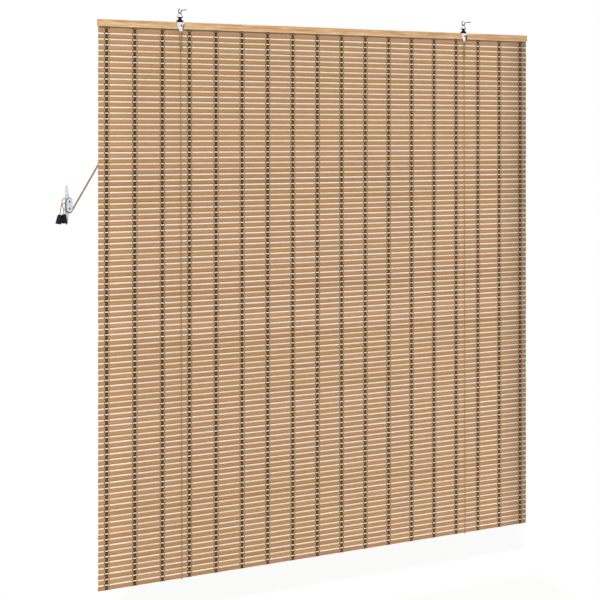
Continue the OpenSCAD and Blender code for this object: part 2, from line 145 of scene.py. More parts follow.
def slatBamboo():
    mat, tree, shader = startMaterial("slatBamboo", 0.5, gloss=0.3)
    shade = attribute(tree, "shade")
    # each slat has its own place in the grain
    shift = put(tree, "ShaderNodeCombineXYZ", {"X": math2(tree, "MULTIPLY", shade, 53.0)}).outputs[0]
    own = put(tree, "ShaderNodeVectorMath", {0: objectCoords(tree), 1: shift}).outputs[0]
    base = ramp(tree, shade, [
        (0.0, srgb(174, 126, 81)), (0.2, srgb(193, 145, 100)), (0.4, srgb(183, 143, 89)),
        (0.6, srgb(200, 149, 104)), (0.8, srgb(187, 146, 93)), (1.0, srgb(206, 158, 112))])
    streaks = noise(tree, own, 1.0, (5, 40, 900), 4.0)
    patches = noise(tree, own, 1.0, (9, 10, 60), 2.0)
    blush = mask(tree, noise(tree, own, 1.0, (8, 20, 230), 2.0), 0.45, 0.7)
    moss = mask(tree, noise(tree, own, 1.0, (7, 35, 280), 2.0), 0.45, 0.72)
    x = put(tree, "ShaderNodeSeparateXYZ", {0: own}).outputs["X"]
    knotPlace = math2(tree, "FRACT", math2(tree, "MULTIPLY", x, 2.6))
    knot = ramp(tree, knotPlace, [(0.0, white), (0.012, black), (1.0, black)])
    # painted shade along each slat's edges, deepest at the lower edge and half as deep at the top
    height = math2(tree, "ADD", math2(tree, "MULTIPLY", attribute(tree, "across"), 0.5), 0.5)
    edgeShade = ramp(tree, height, [(0.0, white), (0.2, black), (0.9, black), (1.0, (0.5, 0.5, 0.5, 1))])
    base = tinted(tree, base, [
        (streaks, 0.55, srgb(152, 106, 62)), (patches, 0.35, srgb(213, 164, 114)),
        (blush, 0.5, srgb(198, 139, 103)), (moss, 0.6, srgb(168, 132, 78)),
        (knot, 0.35, srgb(120, 80, 48)), (edgeShade, 0.65, srgb(112, 70, 42))])
    tree.links.new(base, shader.inputs["Base Color"])
    bump(tree, shader, streaks, 0.35, 0.4 * mm)
    return mat


# the first reed lies in the rail's shade, which ends this far below the rail
railShade = {"full": 7 * mm, "none": 10 * mm, "most": 0.85}


def reedCream():
    mat, tree, shader = startMaterial("reedCream", 0.55)
    coords = objectCoords(tree)
    base = ramp(tree, attribute(tree, "shade"), [
        (0.0, srgb(243, 232, 209)), (0.5, srgb(250, 243, 225)), (1.0, srgb(254, 250, 239))])
    fibres = noise(tree, coords, 1.0, (14, 60, 1400), 3.0)
    base = tinted(tree, base, [(fibres, 0.22, srgb(222, 206, 176))])
    height = put(tree, "ShaderNodeSeparateXYZ", {0: coords}).outputs["Z"]
    shaded = ranged(tree, height, railLow.z - railShade["none"], railLow.z - railShade["full"],
                    0.0, railShade["most"])
    base = mix(tree, shaded, base, srgb(136, 122, 116))
    tree.links.new(base, shader.inputs["Base Color"])
    bump(tree, shader, fibres, 0.3, 0.3 * mm)
    return mat


# the rail's lower edge is paler, a painted highlight where the rounded edge catches the light, and the rail
# is darker toward its right end
railHighlightAndTone = {"paleHeight": 6 * mm, "pale": 0.5, "darkFrom": -0.3, "darkTo": 0.7, "dark": 0.28}


def railWood():
    mat, tree, shader = startMaterial("railWood", 0.42, gloss=0.35)
    coords = objectCoords(tree)
    grain = noise(tree, coords, 1.0, (14, 220, 260), 3.0)
    broad = noise(tree, coords, 1.0, (4, 30, 40), 2.0)
    warm = mask(tree, noise(tree, coords, 1.0, (22, 60, 170), 3.0), 0.42, 0.7)
    gold = mask(tree, noise(tree, coords, 1.0, (15, 90, 110), 3.0), 0.45, 0.7)
    base = ramp(tree, grain, [
        (0.34, srgb(178, 132, 86)), (0.5, srgb(224, 182, 135)), (0.66, srgb(250, 218, 174))])
    base = tinted(tree, base, [
        (broad, 0.35, srgb(208, 164, 114)), (warm, 0.6, srgb(216, 158, 114)),
        (gold, 0.5, srgb(220, 182, 116))])
    place = put(tree, "ShaderNodeSeparateXYZ", {0: coords}).outputs
    # painted highlight along the rounded lower edge
    edgeHighlight = ranged(tree, place["Z"], railLow.z, railLow.z + railHighlightAndTone["paleHeight"], railHighlightAndTone["pale"], 0.0)
    base = mix(tree, edgeHighlight, base, srgb(246, 212, 160))
    darkerRightward = ranged(tree, place["X"], railHighlightAndTone["darkFrom"], railHighlightAndTone["darkTo"], 0.0, railHighlightAndTone["dark"])
    base = mix(tree, darkerRightward, base, srgb(172, 138, 100))
    tree.links.new(base, shader.inputs["Base Color"])
    bump(tree, shader, grain, 0.2, 0.3 * mm)
    return mat


def warpYarn(name, dark, light, middle):
    mat, tree, shader = startMaterial(name, 0.85, gloss=0.1)
    coords = objectCoords(tree)
    plies = put(tree, "ShaderNodeTexWave", {
        "Vector": coords, "Scale": 260.0, "Distortion": 2.0, "Detail": 2.0}, bands_direction="DIAGONAL")
    fuzz = noise(tree, coords, 900.0)
    base = ramp(tree, plies.outputs["Fac"], [(0.1, dark), (0.9, light)])
    # the middle colour is a painted highlight on the crown of the band over each slat
    base = tinted(tree, base, [(fuzz, 0.3, light), (attribute(tree, "bandHighlight"), 0.75, middle)])
    tree.links.new(base, shader.inputs["Base Color"])
    bump(tree, shader, plies.outputs["Fac"], 0.5, 0.3 * mm)
    return mat


# strands round the cord, and their turns for each cord thickness along it
braid = {"strands": 3.0, "slope": 1.1}


def cordBraid():
    mat, tree, shader = startMaterial("cordBraid", 0.8, gloss=0.15)
    uv = put(tree, "ShaderNodeUVMap", uv_map="along").outputs[0]
    parts = put(tree, "ShaderNodeSeparateXYZ", {0: uv}).outputs
    lay = math2(tree, "ADD", math2(tree, "MULTIPLY", parts["X"], braid["slope"]), parts["Y"])
    strand = math2(tree, "PINGPONG", math2(tree, "MULTIPLY", lay, braid["strands"]), 0.5)
    fuzz = noise(tree, objectCoords(tree), 700.0)
    base = ramp(tree, math2(tree, "MULTIPLY", strand, 2.0), [
        (0.0, srgb(128, 100, 62)), (0.6, srgb(178, 150, 110)), (1.0, srgb(192, 166, 128))])
    base = tinted(tree, base, [(fuzz, 0.3, srgb(150, 122, 82))])
    tree.links.new(base, shader.inputs["Base Color"])
    bump(tree, shader, strand, 0.7, 0.5 * mm)
    return mat


metal = {"clouds": 120.0, "marks": 900.0, "strength": 0.08, "depth": 0.2 * mm, "polish": 0.8, "wear": 1.3}


def wornMetal(name, colour, dull, roughness):
    mat, tree, shader = startMaterial(name, roughness, 1.0)
    coords = objectCoords(tree)
    marks = noise(tree, coords, metal["marks"], detail=4.0)
    base = ramp(tree, noise(tree, coords, metal["clouds"]), [(0.3, dull), (0.65, colour)])
    tree.links.new(base, shader.inputs["Base Color"])
    rough = ranged(tree, marks, 0.0, 1.0, roughness * metal["polish"], roughness * metal["wear"])
    tree.links.new(rough, shader.inputs["Roughness"])
    bump(tree, shader, marks, metal["strength"], metal["depth"])
    return mat


# the casting is bright above; its greyer lower horn and the dark in its two screw holes are painted shade
casting = {"x": -896 * mm, "z": -554 * mm, "hole": 10 * mm, "bore": 2.1 * mm, "holeShade": 3.0 * mm, "dark": 0.9,
           "hornTop": -580 * mm, "hornLow": -594 * mm, "hornShade": 0.85}


def castMetal(name, pale, dull, hornShadeColour, roughness):
    mat, tree, shader = startMaterial(name, roughness, 1.0)
    coords = objectCoords(tree)
    base = ramp(tree, noise(tree, coords, metal["clouds"]), [(0.3, dull), (0.65, pale)])
    height = put(tree, "ShaderNodeSeparateXYZ", {0: coords}).outputs["Z"]
    # painted shade on the lower horn
    low = ranged(tree, height, casting["hornLow"], casting["hornTop"], casting["hornShade"], 0.0)
    base = mix(tree, low, base, hornShadeColour)
    flat = put(tree, "ShaderNodeVectorMath", {0: coords, 1: (1, 0, 1)}, operation="MULTIPLY").outputs[0]
    # painted shade in the two screw holes
    for up in (1, -1):
        middle = (casting["x"], 0, casting["z"] + up * casting["hole"])
        apart = put(tree, "ShaderNodeVectorMath", {0: flat, 1: middle}, operation="DISTANCE")
        holeShade = ranged(tree, apart.outputs["Value"], casting["bore"], casting["holeShade"], casting["dark"], 0.0)
        base = mix(tree, holeShade, base, srgb(38, 40, 44))
    tree.links.new(base, shader.inputs["Base Color"])
    bump(tree, shader, noise(tree, coords, metal["marks"]), metal["strength"], metal["depth"])
    return mat


def mouldedPlastic(name, colour, rub, roughness, gloss=0.5):
    mat, tree, shader = startMaterial(name, roughness, gloss=gloss)
    coords = objectCoords(tree)
    grain = noise(tree, coords, 2200.0)
    clouds = noise(tree, coords, 90.0)
    base = ramp(tree, clouds, [(0.35, colour), (0.8, rub)])
    tree.links.new(base, shader.inputs["Base Color"])
    bump(tree, shader, grain, 0.15, 0.1 * mm)
    return mat


finishes = {
    "slat": slatBamboo(),
    "reed": reedCream(),
    "rail": railWood(),
    "warp": warpYarn("warpYarn", srgb(20, 8, 2), srgb(56, 32, 13), srgb(142, 106, 64)),
    "binder": warpYarn("binderThread", srgb(28, 19, 11), srgb(58, 43, 28), srgb(58, 43, 28)),
    "cord": cordBraid(),
    "wire": wornMetal("hookWire", srgb(104, 102, 100), srgb(66, 64, 62), 0.36),
    "ring": wornMetal("ringWire", srgb(134, 134, 136), srgb(92, 92, 94), 0.3),
    "plate": wornMetal("plateNickel", srgb(240, 240, 242), srgb(228, 228, 232), 0.1),
    "zinc": wornMetal("zincSheet", srgb(170, 168, 162), srgb(132, 128, 122), 0.4),
    "cleat": castMetal(
        "cleatCasting", srgb(226, 234, 246), srgb(186, 196, 212), srgb(122, 132, 148), 0.3),
    "black": mouldedPlastic("blackPlastic", srgb(8, 8, 9), srgb(20, 20, 22), 0.45, 0.15),
    "ivory": mouldedPlastic("ivoryWheel", srgb(216, 210, 196), srgb(226, 222, 210), 0.35),
}
print("finishes made:", len(finishes))


# meshes

def meshObject(name, verts, faces, finish, smooth=True):
    mesh = bpy.data.meshes.new(name)
    mesh.from_pydata(verts, [], faces)
    mesh.update()
    obj = bpy.data.objects.new(name, mesh)
    bpy.context.scene.collection.objects.link(obj)
    mesh.materials.append(finish)
    mesh.polygons.foreach_set("use_smooth", [smooth] * len(mesh.polygons))
    return obj


def stackFaces(levels, n):
    # sides and ends of a stack of outlines with n points each
    faces = [(i * n + j, i * n + (j + 1) % n, (i + 1) * n + (j + 1) % n, (i + 1) * n + j)
             for i in range(levels) for j in range(n)]
    return faces + [tuple(range(n - 1, -1, -1)), tuple(levels * n + j for j in range(n))]


def rounded(points, reach, steps=6):
    # corners of a route become short curves
    route = [Vector(p) for p in points]
    out = [route[0]]
    for before, corner, after in zip(route, route[1:], route[2:]):
        a = corner + (before - corner).normalized() * min(reach, (before - corner).length * 0.48)
        b = corner + (after - corner).normalized() * min(reach, (after - corner).length * 0.48)
        for i in range(steps + 1):
            t = i / steps
            out.append(a * (1 - t) ** 2 + corner * 2 * t * (1 - t) + b * t ** 2)
    out.append(route[-1])
    return out


def evenly(path, step):
    out = [path[0]]
    for a, b in zip(path, path[1:]):
        count = max(1, int((b - a).length / step))
        out += [a.lerp(b, (i + 1) / count) for i in range(count)]
    return [p for i, p in enumerate(out) if i == 0 or (p - out[i - 1]).length > 1e-6]


def pathLength(path):
    return sum((b - a).length for a, b in zip(path, path[1:]))


def spaced(path, count):
    # count points at equal distances along a path, the first at its start and none at its end
    whole = pathLength(path)
    out, walked, k = [], 0.0, 0
    for i in range(count):
        goal = whole * i / count
        while walked + (path[k + 1] - path[k]).length < goal:
            walked += (path[k + 1] - path[k]).length
            k += 1
        out.append(path[k].lerp(path[k + 1], (goal - walked) / (path[k + 1] - path[k]).length))
    return out


def tube(name, path, radius, finish, sides=10, closed=False, radii=None):
    count = len(path)
    side = None
    verts = []
    for i, p in enumerate(path):
        if closed:
            t = (path[(i + 1) % count] - path[i - 1]).normalized()
        else:
            t = (path[min(i + 1, count - 1)] - path[max(i - 1, 0)]).normalized()
        if side is None:
            side = t.orthogonal()
        side = (side - t * side.dot(t)).normalized()
        other = t.cross(side)
        for j in range(sides):
            a = 2 * math.pi * j / sides
            r = radii(i, a) if radii else radius
            verts.append(p + (side * math.cos(a) + other * math.sin(a)) * r)
    rings = count if closed else count - 1
    faces = []
    for i in range(rings):
        k = (i + 1) % count
        for j in range(sides):
            m = (j + 1) % sides
            faces.append((i * sides + j, i * sides + m, k * sides + m, k * sides + j))
    if not closed:
        faces.append(tuple(range(sides - 1, -1, -1)))
        faces.append(tuple((count - 1) * sides + j for j in range(sides)))
    obj = meshObject(name, verts, faces, finish)
    layer = obj.data.uv_layers.new(name="along")
    lengths = [0.0]
    for a, b in zip(path, path[1:] + [path[0]]):
        lengths.append(lengths[-1] + (b - a).length)
    for face, poly in zip(faces, obj.data.polygons):
        turn = max(v % sides for v in face) == sides - 1 and min(v % sides for v in face) == 0
        for loop, v in zip(poly.loop_indices, face):
            ring = v // sides
            if closed and ring == 0 and max(face) // sides == count - 1:
                ring = count
            j = sides if turn and v % sides == 0 else v % sides
            layer.data[loop].uv = (lengths[ring] / (2 * radius), j / sides)
    return obj


def lathe(name, profile, top, axis, finish, sides=40):
    # profile is (radius, distance along axis) pairs of a closed outline
    axis = Vector(axis).normalized()
    u = axis.orthogonal().normalized()
    v = axis.cross(u)
    verts = []
    for j in range(sides):
        a = 2 * math.pi * j / sides
        out = u * math.cos(a) + v * math.sin(a)
        verts += [Vector(top) + axis * d + out * r for r, d in profile]
    n = len(profile)
    faces = []
    for j in range(sides):
        k = (j + 1) % sides
        for i in range(n):
            m = (i + 1) % n
            faces.append((j * n + i, j * n + m, k * n + m, k * n + i))
    obj = meshObject(name, verts, faces, finish)
    fixNormals(obj)
    return obj


def fixNormals(obj):
    work = bmesh.new()
    work.from_mesh(obj.data)
    bmesh.ops.remove_doubles(work, verts=work.verts, dist=1e-7)
    bmesh.ops.recalc_face_normals(work, faces=work.faces)
    work.to_mesh(obj.data)
    work.free()


def finishPiece(obj, body, slot, *nodes):
    if nodes:
        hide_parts(*nodes)
    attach(obj, body)
    return obj


# Geometry Nodes

def startTree(name, sockets):
    tree = bpy.data.node_groups.new(name, "GeometryNodeTree")
    tree.interface.new_socket("Geometry", in_out="OUTPUT", socket_type="NodeSocketGeometry")
    for label, kind in sockets:
        tree.interface.new_socket(label, in_out="INPUT", socket_type=kind)
    return tree, tree.nodes.new("NodeGroupInput"), tree.nodes.new("NodeGroupOutput")


def growMesh(name, tree, values):
    # runs a tree on an empty mesh and keeps the result as a plain mesh
    host = bpy.data.objects.new(name + "Host", bpy.data.meshes.new(name + "Host"))
    bpy.context.scene.collection.objects.link(host)
    modifier = host.modifiers.new("grow", "NODES")
    modifier.node_group = tree
    for item in tree.interface.items_tree:
        if item.in_out == "INPUT":
            modifier[item.identifier] = values[item.name]
    graph = bpy.context.evaluated_depsgraph_get()
    mesh = bpy.data.meshes.new_from_object(host.evaluated_get(graph))
    mesh.name = name
    bpy.data.objects.remove(host)
    obj = bpy.data.objects.new(name, mesh)
    bpy.context.scene.collection.objects.link(obj)
    return obj


def rowsTree():
    # copies of one blank, in rows down the mat, each with its own shade, sideways shift and slight bow
    tree, start, end = startTree("matRows", [
        ("Blank", "NodeSocketObject"), ("Rows", "NodeSocketInt"), ("Pitch", "NodeSocketFloat"),
        ("Top", "NodeSocketVector"), ("End Play", "NodeSocketFloat"), ("Bow", "NodeSocketFloat"),
        ("Seed", "NodeSocketInt"), ("Finish", "NodeSocketMaterial")])
    give = start.outputs
    step = put(tree, "ShaderNodeCombineXYZ", {"Z": math2(tree, "MULTIPLY", give["Pitch"], -1.0)})
    line = put(tree, "GeometryNodeMeshLine", {
        "Count": give["Rows"], "Start Location": give["Top"], "Offset": step.outputs[0]})
    blank = put(tree, "GeometryNodeObjectInfo", {"Object": give["Blank"]})
    play = put(tree, "FunctionNodeRandomValue", {
        "Min": math2(tree, "MULTIPLY", give["End Play"], -1.0), "Max": give["End Play"],
        "Seed": give["Seed"]}, data_type="FLOAT")
    shift = put(tree, "ShaderNodeCombineXYZ", {"X": play.outputs[1]})
    copies = put(tree, "GeometryNodeInstanceOnPoints", {
        "Points": line.outputs[0], "Instance": blank.outputs["Geometry"]})
    moved = put(tree, "GeometryNodeTranslateInstances", {
        "Instances": copies.outputs[0], "Translation": shift.outputs[0]})
    shade = put(tree, "FunctionNodeRandomValue", {"Seed": give["Seed"]}, data_type="FLOAT")
    shaded = put(tree, "GeometryNodeStoreNamedAttribute", {
        "Geometry": moved.outputs[0], "Name": "shade", "Value": shade.outputs[1]},
        data_type="FLOAT", domain="INSTANCE")
    real = put(tree, "GeometryNodeRealizeInstances", {"Geometry": shaded.outputs[0]})
    place = put(tree, "GeometryNodeInputPosition")
    wave = put(tree, "ShaderNodeTexNoise", {
        "Vector": put(tree, "ShaderNodeVectorMath", {
            0: place.outputs[0], 1: (2.2, 1.0, 41.0)}, operation="MULTIPLY").outputs[0],
        "Scale": 1.0, "Detail": 1.0})
    drift = put(tree, "ShaderNodeVectorMath", {
        0: wave.outputs["Color"], 1: (0.5, 0.5, 0.5)}, operation="SUBTRACT")
    bowed = put(tree, "ShaderNodeVectorMath", {
        0: drift.outputs[0], 1: put(tree, "ShaderNodeCombineXYZ", {
            "Y": give["Bow"], "Z": give["Bow"]}).outputs[0]}, operation="MULTIPLY")
    set1 = put(tree, "GeometryNodeSetPosition", {
        "Geometry": real.outputs[0], "Offset": bowed.outputs[0]})
    done = put(tree, "GeometryNodeSetMaterial", {
        "Geometry": set1.outputs[0], "Material": give["Finish"]})
    tree.links.new(done.outputs[0], end.inputs[0])
    return tree


def columnsTree():
    # copies of one woven column across the mat
    tree, start, end = startTree("warpColumns", [
        ("Column", "NodeSocketObject"), ("Columns", "NodeSocketInt"), ("Spacing", "NodeSocketFloat"),
        ("First", "NodeSocketVector"), ("Finish", "NodeSocketMaterial")])
    give = start.outputs
    step = put(tree, "ShaderNodeCombineXYZ", {"X": give["Spacing"]})
    line = put(tree, "GeometryNodeMeshLine", {
        "Count": give["Columns"], "Start Location": give["First"], "Offset": step.outputs[0]})
    column = put(tree, "GeometryNodeObjectInfo", {"Object": give["Column"]})
    copies = put(tree, "GeometryNodeInstanceOnPoints", {
        "Points": line.outputs[0], "Instance": column.outputs["Geometry"]})
    real = put(tree, "GeometryNodeRealizeInstances", {"Geometry": copies.outputs[0]})
    done = put(tree, "GeometryNodeSetMaterial", {
        "Geometry": real.outputs[0], "Material": give["Finish"]})
    tree.links.new(done.outputs[0], end.inputs[0])
    return tree


# the woven mat

matLow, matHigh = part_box("slat_mat")
midY = (matLow.y + matHigh.y) / 2

weave = {
    "rows": 99,
    "pitch": 16 * mm,
    "slatHeight": 11.6 * mm,
    "slatThick": 2.0 * mm,
    "slatEdge": 1.2 * mm,
    "lastSlat": 6 * mm,
    "reedHeight": 3.9 * mm,
    "reedThick": 3.0 * mm,
    "endPlay": 0.7 * mm,
    "bow": 0.3 * mm,
    "columns": 18,
    "margin": 26.5 * mm,
    "bandWidth": 8.8 * mm,
    "bandThick": 0.5 * mm,
    "binderReach": 7.5 * mm,
    "binderThick": 2.5 * mm,
    "clear": 0.3 * mm,
    "highlightReach": 0.3,
}
matWidth = matHigh.x - matLow.x
stickLength = matWidth - 2 * weave["endPlay"]
firstSlatZ = matLow.z + weave["pitch"] * (weave["rows"] - 1) + weave["lastSlat"]
firstReedZ = firstSlatZ + weave["pitch"] / 2
headTop = matHigh.z
headFoot = firstReedZ + weave["reedHeight"] / 2


def blank(name, section, length, steps, finish):
    # a straight stick along X with its section in Y and Z, and its height across kept as an attribute
    verts = []
    for i in range(steps + 1):
        x = length * (i / steps - 0.5)
        verts += [(x, y, z) for y, z in section]
    obj = meshObject(name, verts, stackFaces(steps, len(section)), finish)
    fixNormals(obj)
    half = max(z for y, z in section)
    across = obj.data.attributes.new("across", "FLOAT", "POINT")
    across.data.foreach_set("value", [v.co.z / half for v in obj.data.vertices])
    return obj


def slatSection(height):
    # flat strip with rounded edges and a slight crown
    h, t, edge = height / 2, weave["slatThick"] / 2, weave["slatEdge"]
    half = [(0.35 * t, h), (0.75 * t, h - 0.35 * edge), (0.94 * t, h - edge), (t, 0),
            (0.94 * t, edge - h), (0.75 * t, 0.35 * edge - h), (0.35 * t, -h)]
    return half + [(-y, z) for y, z in reversed(half)]


def ovalSection(height, thick, sides=8):
    angles = [2 * math.pi * j / sides for j in range(sides)]
    return [(thick / 2 * math.cos(a), height / 2 * math.sin(a)) for a in angles]


rows = rowsTree()


def stickRows(name, section, look, topZ, steps, count, play, seed):
    stick = blank(name + "Blank", section, stickLength, steps, finishes[look])
    obj = growMesh(name, rows, {
        "Blank": stick, "Rows": count, "Pitch": weave["pitch"], "Top": (0, midY, topZ),
        "End Play": play, "Bow": weave["bow"], "Seed": seed, "Finish": finishes[look]})
    bpy.data.objects.remove(stick)
    return obj


slats = stickRows("bambooSlats", slatSection(weave["slatHeight"]), "slat", firstSlatZ,
                  steps=14, count=weave["rows"], play=weave["endPlay"], seed=11)
reeds = stickRows("creamReeds", ovalSection(weave["reedHeight"], weave["reedThick"]), "reed", firstReedZ,
                  steps=12, count=weave["rows"], play=weave["endPlay"], seed=23)
headStrip = stickRows("headStrip", slatSection(headTop - headFoot), "slat", (headTop + headFoot) / 2,
                      steps=14, count=1, play=0.0, seed=5)
finishPiece(slats, "blind", "bamboo", "slat_mat")
finishPiece(reeds, "blind", "bamboo")
finishPiece(headStrip, "blind", "bamboo")
print("mat woven:", len(slats.data.polygons), "slat faces,", len(reeds.data.polygons), "reed faces")


def weavePath(over, under, steps, entry=()):
    # one warp line down the mat, on the wall side of the slats and behind the reeds, or the other way;
    # entry is what the first row has before its steps
    path = [Vector((0, midY + over, headTop)), Vector((0, midY + over, headFoot + 1 * mm))]
    highlightShares = [0.0, 0.0]
    for k in range(weave["rows"]):
        top = firstReedZ - k * weave["pitch"]
        for z, y in [*(entry if k == 0 else ()), *steps]:
            side = under if y > 0 else over
            path.append(Vector((0, midY + side * abs(y), top - z * weave["pitch"])))
            # painted highlight, fullest halfway down each slat and gone near the reeds
            highlightShares.append(max(0.0, 1 - abs(z - 0.5) / weave["highlightReach"]))
    return path, highlightShares


def ribbon(name, route, section, finish, core=()):
    # core names the section's points that carry the painted highlight on the band's crown
    path, highlightShares = route
    n = len(section)
    verts = []
    for p in path:
        verts += [(p.x + dx, p.y - dy, p.z) for dx, dy in section]
    faces = [(i * n + j, (i + 1) * n + j, (i + 1) * n + (j + 1) % n, i * n + (j + 1) % n)
             for i in range(len(path) - 1) for j in range(n)]
    faces += [tuple(range(n)), tuple((len(path) - 1) * n + j for j in range(n - 1, -1, -1))]
    obj = meshObject(name, verts, faces, finish)
    bandHighlight = obj.data.attributes.new("bandHighlight", "FLOAT", "POINT")
    bandHighlight.data.foreach_set("value", [t if j in core else 0.0 for t in highlightShares for j in range(n)])
    fixNormals(obj)
    return obj


def bandSection(width, thick):
    # three yarns side by side
    w = width / 2
    return [(-w, 0), (-0.72 * w, thick), (-0.36 * w, 0.5 * thick), (0, 1.1 * thick),
            (0.36 * w, 0.5 * thick), (0.72 * w, thick), (w, 0)]


def threadSection(thick):
    r = thick / 2
    return [(-r, 0), (0, r), (r, 0), (0, -r)]


slatSide = weave["slatThick"] / 2 + weave["clear"]
reedSide = weave["reedThick"] / 2 + weave["clear"]
# share of the pitch below each reed's middle, and how far out: to -1 over the slat, to 1 behind the reed
bandSteps = [(0.1, 1), (0.14, -0.9), (0.28, -1), (0.5, -1), (0.72, -1), (0.86, -0.9), (0.9, 1)]
bandEntry = [(0.0, 1)]
bandCore = (2, 3, 4)
binderSteps = [(0.0, 1), (0.1, 0.8), (0.17, -0.8), (0.5, -1), (0.83, -0.8), (0.9, 0.8)]
spacing = (matWidth - 2 * weave["margin"]) / (weave["columns"] - 1)
columns = columnsTree()


def warpColumns(name, column, shift, look):
    return growMesh(name, columns, {
        "Column": column, "Columns": weave["columns"], "Spacing": spacing,
        "First": (matLow.x + weave["margin"] + shift, 0, 0), "Finish": finishes[look]})


bandColumn = ribbon("bandColumn", weavePath(-slatSide, reedSide, bandSteps, bandEntry),
                    bandSection(weave["bandWidth"], weave["bandThick"]), finishes["warp"], bandCore)
bands = warpColumns("warpBands", bandColumn, 0.0, "warp")
binderPath = weavePath(slatSide + weave["clear"], -reedSide - weave["clear"], binderSteps)
threadColumn = ribbon("threadColumn", binderPath, threadSection(weave["binderThick"]), finishes["binder"])
binders = [warpColumns("binderThreadsLeft", threadColumn, -weave["binderReach"], "binder"),
           warpColumns("binderThreadsRight", threadColumn, weave["binderReach"], "binder")]
bpy.data.objects.remove(bandColumn)
bpy.data.objects.remove(threadColumn)
finishPiece(bands, "blind", "warp_thread", "warp_wall_side", "warp_room_side")
for threads in binders:
    finishPiece(threads, "blind", "warp_thread")
threadFaces = sum(len(threads.data.polygons) for threads in binders)
print("warp woven:", len(bands.data.polygons), "band faces,", threadFaces, "thread faces")


# rail, cleat and hidden fittings keep their solids

def dress(node, finish):
    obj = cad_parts[node]
    obj.data.materials.clear()
    obj.data.materials.append(finish)


dressed = {
    "rail": ("back_batten", "front_batten"),
    "zinc": ("rail_screws", "pulley_block_left", "pulley_block_right",
             "pulley_axle_left", "pulley_axle_right"),
    "ivory": ("pulley_wheel_left_inner", "pulley_wheel_left_outer", "pulley_wheel_right"),
    "cleat": ("cleat",),
}
for look, nodes in dressed.items():
    for node in nodes:
        dress(node, finishes[look])
print("rail and fittings dressed")


# black saddles: a waisted neck under the ring, with eaves over the rail

# stations are a share of the height, then width and depth there
saddle = {"stations": [(0.0, 18 * mm, 11.4 * mm), (0.1, 19.6 * mm, 11.8 * mm), (0.22, 22 * mm, 11 * mm),
                       (0.3, 21 * mm, 9.6 * mm), (0.42, 15 * mm, 7 * mm), (0.6, 8.6 * mm, 5 * mm),
                       (0.8, 11.6 * mm, 5 * mm), (0.94, 15 * mm, 5 * mm), (1.0, 14.2 * mm, 4 * mm)],
          "levels": 28, "sides": 32, "corner": 0.6, "sharp": 50}


def smoothStation(t):
    stations = saddle["stations"]
    for (t0, w0, d0), (t1, w1, d1) in zip(stations, stations[1:]):
        if t <= t1:
            u = (t - t0) / (t1 - t0)
            u = 0.5 * u + 0.5 * u * u * (3 - 2 * u)
            return w0 + (w1 - w0) * u, d0 + (d1 - d0) * u
    return stations[-1][1:]


def squareRound(width, depth):
    # a box outline with full round corners
    out = []
    for j in range(saddle["sides"]):
        a = 2 * math.pi * (j + 0.5) / saddle["sides"]
        c, n = math.cos(a), math.sin(a)
        out.append((width / 2 * math.copysign(abs(c) ** saddle["corner"], c),
                    depth / 2 * math.copysign(abs(n) ** saddle["corner"], n)))
    return out


def hangerSaddle(side):
    node = "hanger_saddle_" + side
    low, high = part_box(node)
    x, y = (low.x + high.x) / 2, (low.y + high.y) / 2
    verts = []
    for i in range(saddle["levels"] + 1):
        t = i / saddle["levels"]
        z = low.z + t * (high.z - low.z)
        verts += [(x + dx, y + dy, z) for dx, dy in squareRound(*smoothStation(t))]
    faces = stackFaces(saddle["levels"], saddle["sides"])
    piece = meshObject("hangerSaddle." + side, verts, faces, finishes["black"])
    fixNormals(piece)
    piece.data.set_sharp_from_angle(angle=math.radians(saddle["sharp"]))
    finishPiece(piece, "blind", "black_plastic", node)


for side in ("left", "right"):
    hangerSaddle(side)
print("saddles made")


# bright face plates: a shield, crowned to its edge, with an eye at the tip

shield = {"corner": 2 * mm, "tip": 3.75 * mm, "lean": 32, "belly": 1.8, "points": 96, "heart": 0.62,
          "rim": 1.6 * mm, "edge": 0.25 * mm, "inset": 0.985, "crown": 2.2, "rings": 9,
          "eye": 1.8 * mm, "bore": 3 * mm, "sharp": 40}


def shieldOutline(half, top, tipZ):
    tip, corner, lean = shield["tip"], shield["corner"], shield["lean"]
    points = [(half - corner * (1 - math.sin(a)), top - corner * (1 - math.cos(a)))
              for a in [math.pi / 2 * i / 6 for i in range(6)]]
    bottom = [(tip * math.cos(a), tipZ + tip + tip * math.sin(a))
              for a in [math.radians(-lean - (180 - 2 * lean) * i / 16) for i in range(17)]]
    for i in range(16):
        t = i / 16
        points.append((bottom[0][0] + (half - bottom[0][0]) * (1 - t ** shield["belly"]),
                       top - corner + (bottom[0][1] - top + corner) * t))
    whole = points + bottom + [(-x, z) for x, z in reversed(points)]
    loop = [Vector((x, 0, z)) for x, z in whole + whole[:1]]
    return [(v.x, v.z) for v in spaced(loop, shield["points"])]


